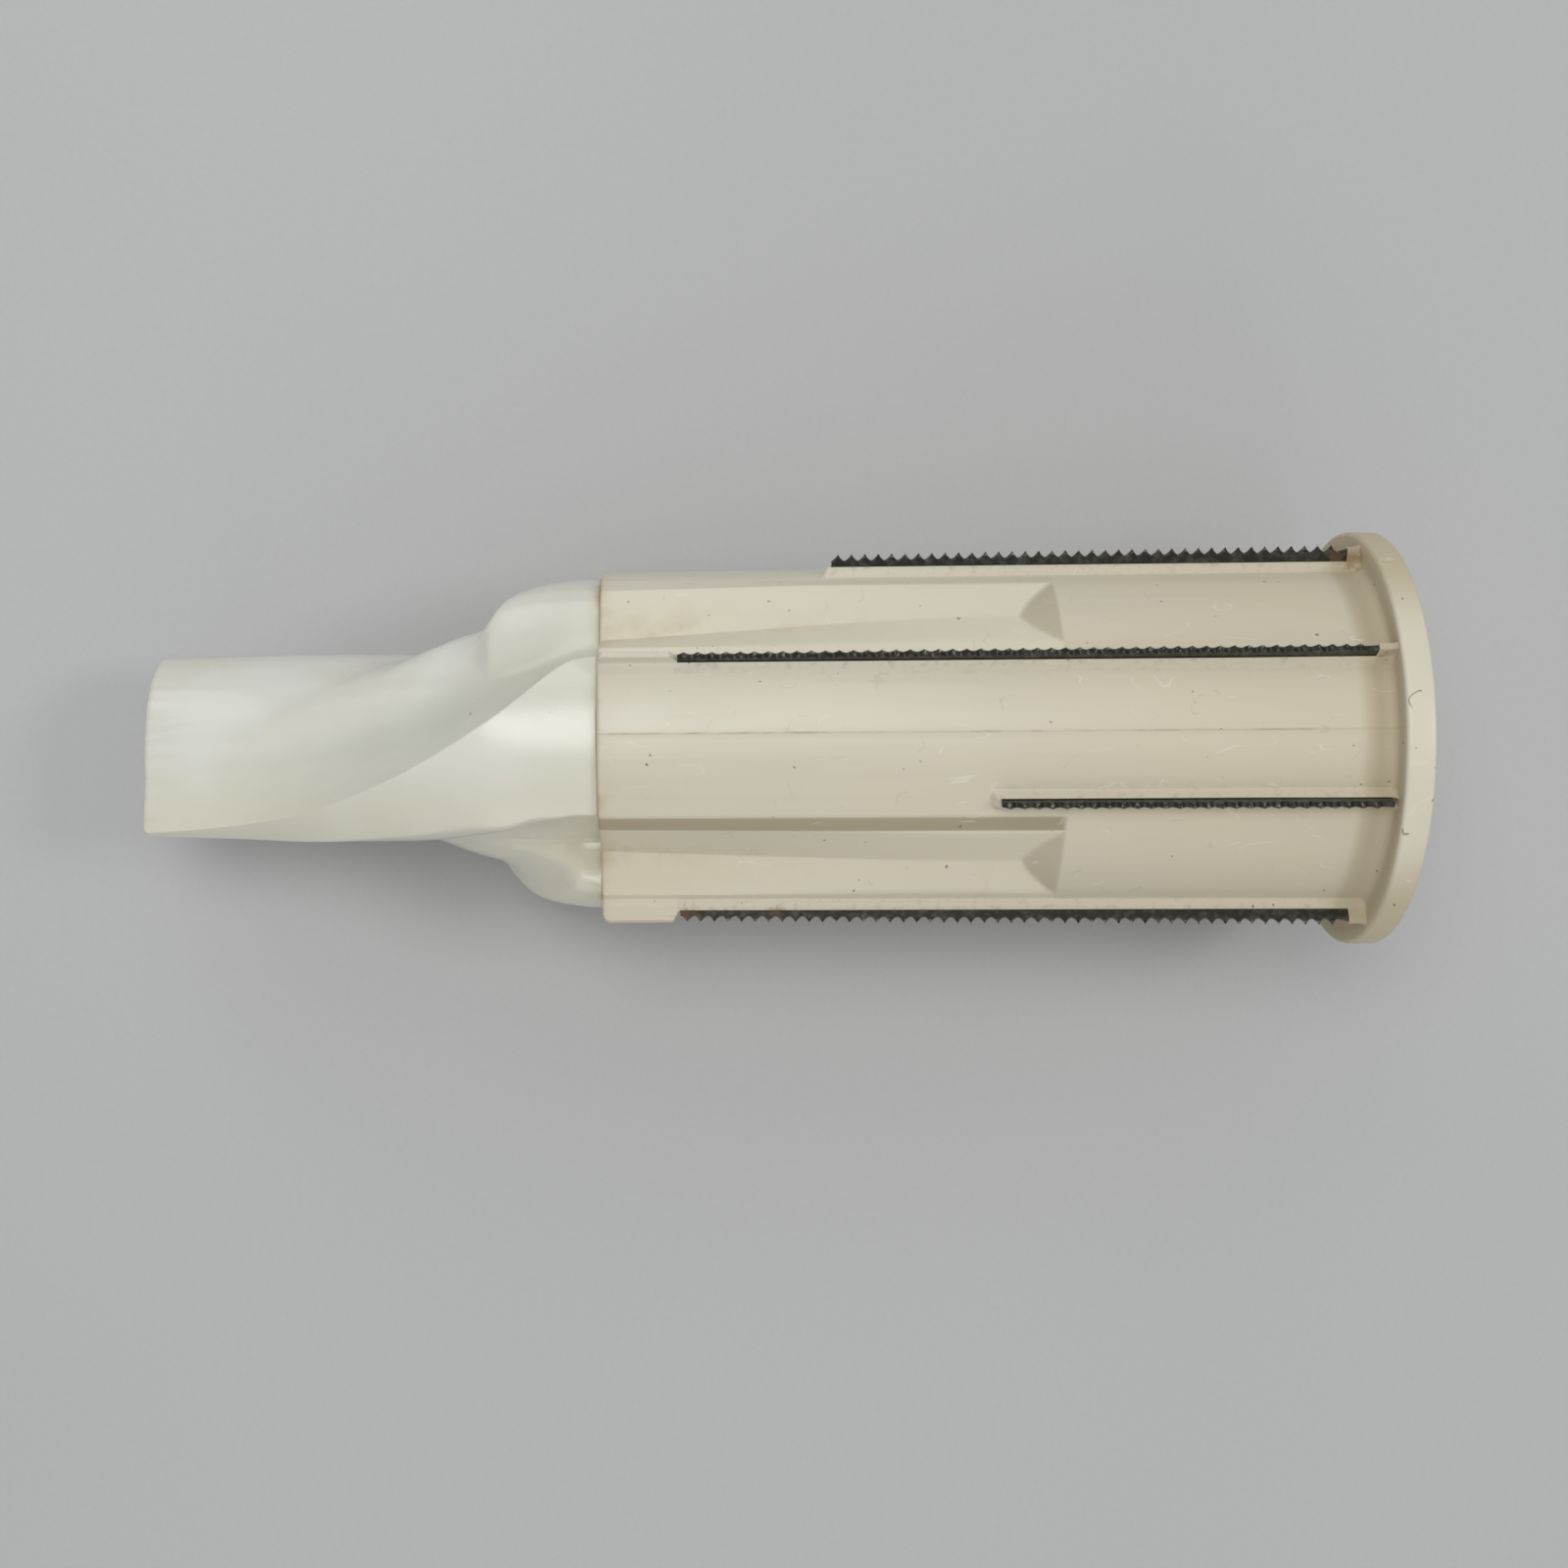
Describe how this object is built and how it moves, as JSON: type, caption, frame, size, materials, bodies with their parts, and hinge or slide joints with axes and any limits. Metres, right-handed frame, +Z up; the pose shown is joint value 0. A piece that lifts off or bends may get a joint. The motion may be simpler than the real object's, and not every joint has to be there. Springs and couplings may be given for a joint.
{
  "type": "juicer cutter",
  "caption": "Rotating juicer cutter with a twisted auger nose, a fluted drum carrying toothed steel strips, a rear flange and a blind shaft bore.",
  "frame": {"origin": "centre of the shaft bore's mouth on the rear face of the flange", "axes": "+X along the rotor axis, out of the bore's mouth and away from the nose; +Z up as the cutter lies on its side"},
  "size_m": [0.1864, 0.0634, 0.0634],
  "materials": {
    "nose_plastic": "moulded ivory plastic, smooth and slightly glossy",
    "drum_plastic": "moulded cream plastic, satin, stained by use",
    "blade_steel": "dark stainless strip, punched teeth"
  },
  "bodies": {
    "root": {"nose_auger": "nose_plastic", "cutter_drum": "drum_plastic", "blade_long_1": "blade_steel", "blade_long_2": "blade_steel", "blade_long_3": "blade_steel", "blade_long_4": "blade_steel", "blade_medium_1": "blade_steel", "blade_medium_2": "blade_steel", "blade_short_1": "blade_steel", "blade_short_2": "blade_steel"}
  },
  "joints": []
}
